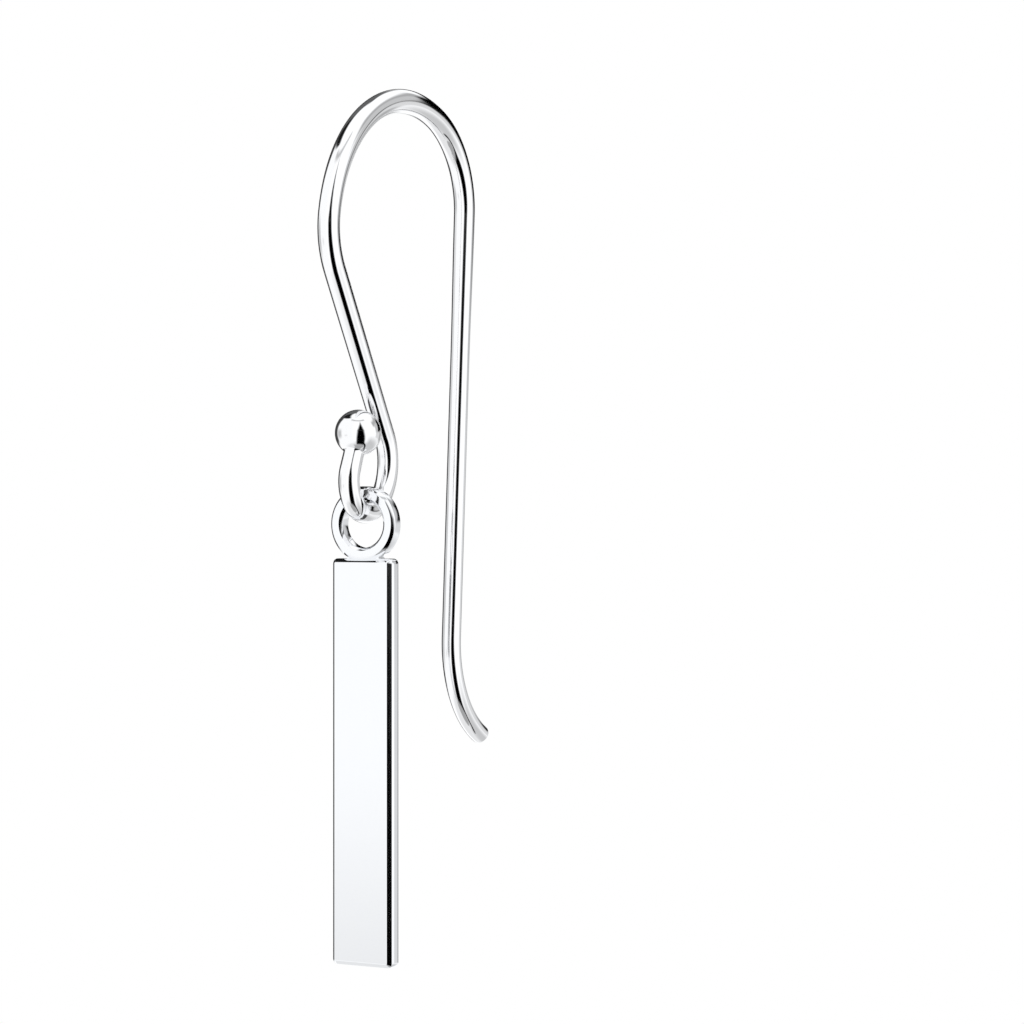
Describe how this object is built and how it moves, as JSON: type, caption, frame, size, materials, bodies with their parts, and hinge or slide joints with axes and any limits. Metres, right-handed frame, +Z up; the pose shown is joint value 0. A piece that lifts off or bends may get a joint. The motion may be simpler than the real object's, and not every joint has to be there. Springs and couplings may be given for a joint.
{
  "type": "bar drop earring with hook ear wire",
  "caption": "Slim rectangular bar hanging by its soldered ring from the loop of a shepherd's-hook ear wire with a small ball at the front.",
  "frame": {"origin": "underside of the ear wire's arch, at its highest point, where the earring rests in a pierced lobe", "axes": "+Z up along the hanging bar, -Y the way the bar's broad face looks, +Y towards the tail behind the lobe, +X to the right as seen from the front"},
  "size_m": [0.0028, 0.0115, 0.0324],
  "materials": {
    "hook_silver": "high polish sterling silver wire and ball",
    "bar_silver": "high polish sterling silver, flat lapped faces"
  },
  "bodies": {
    "hook": {"ear_hook": "hook_silver"},
    "drop": {"bar_drop": "bar_silver"}
  },
  "joints": [
    {"name": "drop_sway", "type": "hinge", "parent": "hook", "child": "drop", "pos_m": [0, -0.00298, -0.01493], "axis": [0, 1, 0], "range_deg": [-90, 90]}
  ]
}
